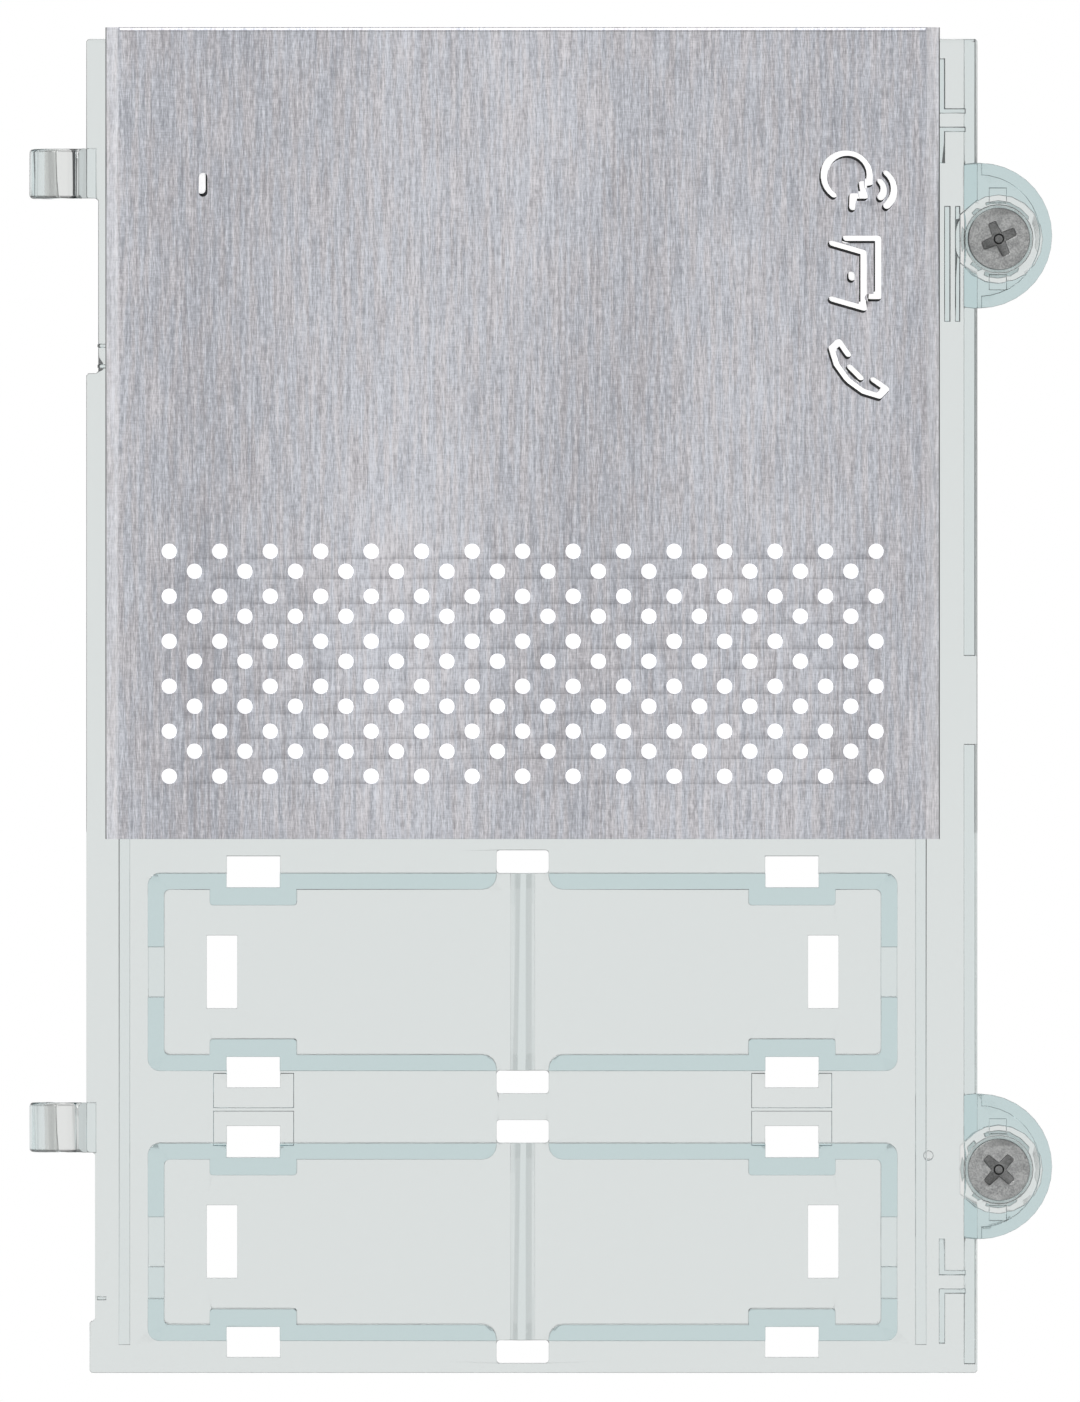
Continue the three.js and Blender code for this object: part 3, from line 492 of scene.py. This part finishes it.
def build_plate():
    half, top, bottom = plate_high.x, plate_high.z, plate_low.z
    front, rear = plate_low.y, plate_high.y
    edge = half - BEND + 0.15
    ceiling = top - FOLD + 0.06
    outline = [(-edge, bottom + RIM), (edge, bottom + RIM), (edge, ceiling), (-edge, ceiling)]
    slot = capped([(-29.4, 46.8), (-29.4, 48.2)], 0.8 + 2 * RIM)
    cuts = [outline, slot, *grille_outlines(), *pictograms(STROKE + 2 * RIM)]
    bm = punched_sheet(cuts, front, SHEET, RIM)
    for side in (-1, 1):
        turn = arc((half - BEND, front + BEND), BEND, -90, 0, 8)
        back = arc((half - BEND, front + BEND), BEND - SHEET, 0, -90, 6)
        section = turn + [(half, rear), (half - SHEET, rear)] + back
        prism(bm, [(side * x, y) for x, y in section], lambda x, y: (x, y, bottom), (0, 0, top - bottom))
    turn = arc((top - FOLD, front + FOLD), FOLD, -90, 0, 5)
    back = [(top - SHEET, rear), (top - SHEET, front + SHEET), (top - FOLD, front + SHEET)]
    section = turn + [(top, rear)] + back
    inner = half - BEND
    prism(bm, section, lambda z, y: (-inner, y, z), (2 * inner, 0, 0))
    bmesh.ops.recalc_face_normals(bm, faces=bm.faces)
    weighted(finished(bm, "brushed_plate", "face_plate", angle=25))


def build_shadow_films():
    """Black films behind the cuts, set a little up and outward, so that a dark edge shows below: a painted
    shadow on the lower edges of each cut.
    """
    film, front = 0.05, plate_low.y + SHEET + 0.08
    low, high = (Vector(corner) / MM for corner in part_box("pictogram_diffuser"))
    frame_line = [(low.x + 0.1, low.z + 0.1), (high.x - 0.1, low.z + 0.1), (high.x - 0.1, high.z - 0.1),
                  (low.x + 0.1, high.z - 0.1)]
    symbols = [[(x + 0.13, z + 0.22) for x, z in outline] for outline in pictograms(STROKE)]
    bm = punched_sheet([frame_line, *symbols], front, film, 0.01)
    finished(bm, "pictogram_shadow_film", "pictogram_diffuser", replaces=False, slot_name="black_plastic")
    # Painted shadow: a black ring behind the microphone slot, its opening set aside so that a dark edge
    # shows in the slot.
    low, high = (Vector(corner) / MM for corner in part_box("microphone_membrane"))
    centre = ((low.x + high.x) / 2, (low.z + high.z) / 2)
    ring = arc(centre, high.x - centre[0], 0, 345, 23)
    slot = capped([(centre[0] - 0.17, centre[1] - 0.42), (centre[0] - 0.17, centre[1] + 0.9)], 0.8)
    bm = punched_sheet([ring, slot], front, film, 0.01)
    finished(bm, "microphone_shadow_film", "microphone_membrane", replaces=False, slot_name="black_plastic")


build_plate()
build_shadow_films()


# ---------------------------------------------------------------- clear carrier
def spans(edge, axis, low, high):
    """True when both ends of the edge lie between low and high millimetres on that axis."""
    return all(low < vert.co[axis] / MM < high for vert in edge.verts)


def on_hook(edge):
    level = abs(edge.verts[0].co.z - edge.verts[1].co.z) < 1e-6
    return level and spans(edge, 0, carrier_low.x - 1, carrier_low.x + 5)


def build_carrier():
    """Hook ends are well rounded; every other edge is just broken."""
    bm = joined_faces("carrier")
    soften(bm, 0.35, 3, 50, on_hook)
    soften(bm, 0.06, 2, 50)
    weighted(finished(bm, "carrier_shell", "carrier"))


build_carrier()


# ---------------------------------------------------------------- captive screws
HEAD_SHEET = 0.75
RIM_ROUND = 0.16
RECESS = (1.78, 0.58)
HEAD_HEIGHT = 1.9
HEAD_STEPS = 54
SHANK_RADIUS = 1.5
THREAD_CORE = 1.22
THREAD_PITCH = 0.5
THREAD_STEPS = 24
RUNOUT = 0.6
SCREW_TURNS = {"upper_screw": 24, "lower_screw": 47}


def cross_outline(centre, turn):
    """Four tapered arms about the centre, turned by that many degrees."""
    length, half = RECESS
    arm = [(half, half), (length * 0.92, half * 0.86), (length, half * 0.5), (length, -half * 0.5),
           (length * 0.92, -half * 0.86)]
    points = []
    for quarter in range(4):
        spun = Matrix.Rotation(math.radians(turn - 90 * quarter), 2)
        points += [spun @ Vector(corner) for corner in arm]
    return [(centre[0] + point.x, centre[1] + point.y) for point in points]


def build_screw(node):
    """Pan head with a cross recess, and a shank with a running thread."""
    low, high = (Vector(corner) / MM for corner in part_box(node))
    centre, radius = ((low.x + high.x) / 2, (low.z + high.z) / 2), (high.x - low.x) / 2
    rim = arc(centre, radius - RIM_ROUND, 0, 353, HEAD_STEPS - 1)
    bm = punched_sheet([rim, cross_outline(centre, SCREW_TURNS[node])], low.y, HEAD_SHEET, RIM_ROUND)
    seat, waist, core = low.y + HEAD_HEIGHT, SHANK_RADIUS, THREAD_CORE
    profile = [(0.0, low.y + 1.25), (0.35, low.y + 1.2), (0.5, low.y + 0.95), (1.7, low.y + 0.72),
               (1.75, low.y + 0.6), (radius - 0.25, low.y + 0.6),
               (radius, low.y + 0.8), (radius, seat - 0.1), (radius - 0.1, seat), (waist, seat),
               (waist, seat + 0.5), (core, seat + 0.8), (core, high.y - 0.9), (0.5, high.y), (0.0, high.y)]
    turned(bm, profile, centre, HEAD_STEPS)
    start, steps = seat + RUNOUT, THREAD_STEPS
    turns = int((high.y - 2 * RUNOUT - start) / THREAD_PITCH)
    root = core - 0.05
    ridge = [(root, start), (waist, start + 0.2), (waist, start + 0.26), (root, start + 0.46)]
    middle = Vector((centre[0], 0, centre[1])) * MM
    verts = [bm.verts.new(middle + Vector((out, y, 0)) * MM) for out, y in ridge]
    section = bm.faces.new(verts)
    bmesh.ops.spin(bm, geom=[section, *section.edges, *verts], cent=middle, axis=(0, 1, 0),
                   dvec=(0, THREAD_PITCH * MM / steps, 0), angle=TAU * turns, steps=steps * turns)
    bmesh.ops.recalc_face_normals(bm, faces=bm.faces)
    weighted(finished(bm, f"{node}_turned", node, angle=40))


for node in SCREW_TURNS:
    build_screw(node)


# ---------------------------------------------------------------- other pieces kept from the frame
BROKEN_EDGE = 0.12
PIN_PITCH = 2.0
PIN_WIDTH = 0.5
PIN_DEPTH = 4.6
PIN_STRETCH = 12


for node in ("plate_tape", "grille_membrane", "microphone_membrane", "pictogram_diffuser",
             "speaker_lead_red", "speaker_lead_black"):
    paint(frame["nodes"][node], NODE_SLOT[node])
    shaded(frame["nodes"][node].data)

for node in ("rear_cover", "terminal_block", "link_header", "light_mask", "grille_gasket", "speaker_baffle",
             "circuit_board", "processor", "amplifier", "bus_inductor", "bus_capacitor", "audio_capacitor",
             "volume_adjuster_body", "gain_adjuster_body", "volume_adjuster_shaft", "gain_adjuster_shaft",
             "lamp_speak", "lamp_door", "lamp_handset", "microphone", "microphone_boot", "speaker_magnet",
             "speaker_basket", "speaker_cone", "terminal_clamp_1", "terminal_clamp_2", "terminal_screw_1",
             "terminal_screw_2", "cover_screw_upper_left", "cover_screw_upper_right",
             "cover_screw_lower_left", "cover_screw_lower_right",
             "upper_screw_retainer", "lower_screw_retainer"):
    softened(node, BROKEN_EDGE)


def build_header_pins():
    """Two rows of square pins that stand in the link header."""
    low, high = (Vector(corner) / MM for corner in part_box("link_header"))
    middle = (low + high) / 2
    bm = bmesh.new()
    for row in (-0.5, 0.5):
        for column in (-1.5, -0.5, 0.5, 1.5):
            place = (middle.x + column * PIN_PITCH, high.y - PIN_DEPTH, middle.z + row * PIN_PITCH)
            pin = bmesh.ops.create_cube(bm, size=PIN_WIDTH * MM)["verts"]
            bmesh.ops.scale(bm, verts=pin, vec=(1, PIN_STRETCH, 1))
            bmesh.ops.translate(bm, verts=pin, vec=Vector(place) * MM)
    soften(bm, 0.08, 2)
    finished(bm, "header_pins", "link_header", replaces=False, slot_name="brass")


build_header_pins()


# ---------------------------------------------------------------- stage, light and camera
BELT = 0.25                 # brightness of the belt overhead
ZENITH = 2.6                # brightness added straight above
FLAG = 0.18                 # how much the side flags take away
FLOOR_HALF = 3.0            # metres
FLOOR_DROP = 0.28           # metres below the carrier
LAMP_PLACE = (-0.6, -0.9, 0.7)


def build_stage():
    bm = bmesh.new()
    bmesh.ops.create_grid(bm, x_segments=1, y_segments=1, size=FLOOR_HALF)
    bmesh.ops.translate(bm, verts=bm.verts, vec=(0, 0, carrier_low.z * MM - FLOOR_DROP))
    mesh = bpy.data.meshes.new("floor")
    bm.to_mesh(mesh)
    bm.free()
    floor = bpy.data.objects.new("floor", mesh)
    bpy.context.collection.objects.link(floor)
    mesh.materials.append(plain("pale_floor", (0.86, 0.86, 0.86), 0.8, 0.05, 0.01, 0.01).data)


def build_light():
    """White all round, a darker belt overhead, darker flags behind at both sides, a bright zenith."""
    world = bpy.data.worlds.new("studio")
    world.use_nodes = True
    bpy.context.scene.world = world
    nodes = Nodes(world.node_tree)
    where = nodes.add("ShaderNodeTexCoord", output="Generated")
    across, along, up = (nodes.add("ShaderNodeSeparateXYZ", {}, {0: where}, index) for index in range(3))
    level = up.remapped(0.06, 0.42, 1.0, BELT) + up.remapped(0.8, 0.97, 0.0, ZENITH)
    aside = across.absolute()
    flag = aside.remapped(0.16, 0.22) * aside.remapped(0.4, 0.48, 1.0, 0.0) * (along > 0.0)
    strength = level * (1.0 - flag * FLAG)
    nodes.fill(world.node_tree.nodes["Background"].inputs["Strength"], strength)
    nodes.fill(world.node_tree.nodes["Background"].inputs["Color"], (1, 1, 1, 1))
    lamp = bpy.data.lights.new("soft_lamp", "AREA")
    lamp.shape = "DISK"
    lamp.size = 0.5
    lamp.energy = 4.0
    holder = bpy.data.objects.new("soft_lamp", lamp)
    holder.location = LAMP_PLACE
    holder.rotation_euler = (-Vector(holder.location)).to_track_quat("-Z", "Y").to_euler()
    bpy.context.collection.objects.link(holder)


def build_camera():
    """A long lens square on to the front, as far off as makes the frame 129 mm high at the plate."""
    lens, view_height = 1000.0, 0.129
    data = bpy.data.cameras.new("camera")
    data.lens = lens
    data.clip_end = 20.0
    distance = view_height / 2 / (data.sensor_width / 2 / lens)
    camera = bpy.data.objects.new("camera", data)
    camera.location = (1.6 * MM, plate_low.y * MM - distance, 0)
    camera.rotation_euler = (math.pi / 2, 0, 0)
    bpy.context.collection.objects.link(camera)
    bpy.context.scene.camera = camera


build_stage()
build_light()
build_camera()
bpy.context.scene.view_settings.view_transform = "Standard"
